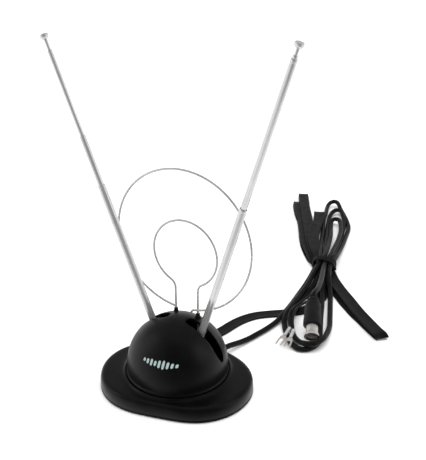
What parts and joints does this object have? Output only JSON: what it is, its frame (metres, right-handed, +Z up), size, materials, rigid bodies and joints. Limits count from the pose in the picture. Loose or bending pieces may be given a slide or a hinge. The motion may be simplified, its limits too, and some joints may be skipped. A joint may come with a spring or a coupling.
{
  "type": "rabbit ears antenna",
  "caption": "Set-top television antenna: two telescoping ears on a turning dome, wire loops behind, a weighted base, and a coaxial and a flat lead tied in a bundle.",
  "frame": {"origin": "floor level under the dome's swivel axis, on the underside of the centre foot", "axes": "+Z up, +X towards the right ear as seen from the front, -Y towards the front, +Y towards the leads"},
  "size_m": [0.244, 0.4852, 0.2849],
  "materials": {
    "satin_black": "moulded satin black styrene, faintly scuffed",
    "matte_black": "moulded black plastic, matte",
    "rubber": "soft black rubber",
    "cord_vinyl": "round black vinyl jacket, satin",
    "ribbon_vinyl": "flat twin-lead jacket, black, satin",
    "tie_vinyl": "plastic-covered wire tie, black",
    "chrome": "bright plated tube and wire",
    "nickel": "bright nickel plate",
    "zinc_steel": "zinc-plated steel",
    "cast_weight": "bare cast weight",
    "brass": "plain brass",
    "phenolic": "brown laminate",
    "ferrite": "dark grey ferrite",
    "copper": "enamelled copper wire",
    "plug_insulator": "reddish-brown insulator",
    "fork_sleeve": "pale tinned fork in a clear sleeve"
  },
  "bodies": {
    "base": {"base_shell": "satin_black", "base_plate": "matte_black", "base_screw_1": "zinc_steel", "base_screw_2": "zinc_steel", "base_screw_3": "zinc_steel", "base_screw_4": "zinc_steel", "base_foot_1": "rubber", "base_foot_2": "rubber", "base_foot_3": "rubber", "base_foot_4": "rubber", "centre_foot": "rubber", "ballast_plate": "cast_weight", "friction_ring": "rubber", "coax_grommet": "rubber", "ribbon_bush": "rubber", "coax_tail": "cord_vinyl", "ribbon_tail": "ribbon_vinyl", "coax_lead": "cord_vinyl", "ribbon_lead": "ribbon_vinyl", "ribbon_hank": "ribbon_vinyl", "coax_hank": "cord_vinyl", "twist_tie": "tie_vinyl", "plug_boot": "matte_black", "plug_shell": "nickel", "plug_insulator": "plug_insulator", "plug_pin": "brass", "fork_terminal_1": "fork_sleeve", "fork_terminal_2": "fork_sleeve"},
    "turret": {"dome_shell": "satin_black", "turntable": "matte_black", "swivel_clip": "zinc_steel", "dome_screw_1": "zinc_steel", "dome_screw_2": "zinc_steel", "pivot_bracket_left": "brass", "pivot_bracket_right": "brass", "pivot_screw_left": "zinc_steel", "pivot_nut_left": "zinc_steel", "pivot_screw_right": "zinc_steel", "pivot_nut_right": "zinc_steel", "large_loop": "chrome", "small_loop": "chrome", "loop_bush_left": "rubber", "loop_bush_right": "rubber", "loop_clamp": "phenolic", "terminal_board": "phenolic", "balun_core": "ferrite", "balun_winding": "copper"},
    "left_ear": {"left_knuckle": "brass", "left_tube_1": "chrome"},
    "left_section_2": {"left_tube_2": "chrome"},
    "left_section_3": {"left_tube_3": "chrome"},
    "left_section_4": {"left_tube_4": "chrome", "left_tip": "chrome"},
    "right_ear": {"right_knuckle": "brass", "right_tube_1": "chrome"},
    "right_section_2": {"right_tube_2": "chrome"},
    "right_section_3": {"right_tube_3": "chrome"},
    "right_section_4": {"right_tube_4": "chrome", "right_tip": "chrome"}
  },
  "joints": [
    {"name": "dome_swivel", "type": "hinge", "parent": "base", "child": "turret", "pos_m": [0, 0, 0.014], "axis": [0, 0, 1], "range_deg": [-49.2, 70.8]},
    {"name": "left_ear_swing", "type": "hinge", "parent": "turret", "child": "left_ear", "pos_m": [-0.0115, 0.0021, 0.021], "axis": [0, -1, 0], "range_deg": [-21.6, 40.4]},
    {"name": "right_ear_swing", "type": "hinge", "parent": "turret", "child": "right_ear", "pos_m": [0.0115, 0.0021, 0.021], "axis": [0, 1, 0], "range_deg": [-17.15, 44.85]},
    {"name": "left_section_2_draw", "type": "slide", "parent": "left_ear", "child": "left_section_2", "axis": [-0.3681, 0, 0.9298], "range_m": [-0.0382, 0.0798]},
    {"name": "left_section_3_draw", "type": "slide", "parent": "left_section_2", "child": "left_section_3", "axis": [-0.3681, 0, 0.9298], "range_m": [-0.0654, 0.0476]},
    {"name": "left_section_4_draw", "type": "slide", "parent": "left_section_3", "child": "left_section_4", "axis": [-0.3681, 0, 0.9298], "range_m": [-0.0077, 0.0988]},
    {"name": "right_section_2_draw", "type": "slide", "parent": "right_ear", "child": "right_section_2", "axis": [0.2949, 0, 0.9555], "range_m": [-0.1122, 0.0058]},
    {"name": "right_section_3_draw", "type": "slide", "parent": "right_section_2", "child": "right_section_3", "axis": [0.2949, 0, 0.9555], "range_m": [-0.0004, 0.1126]},
    {"name": "right_section_4_draw", "type": "slide", "parent": "right_section_3", "child": "right_section_4", "axis": [0.2949, 0, 0.9555], "range_m": [-0.0045, 0.102]}
  ]
}
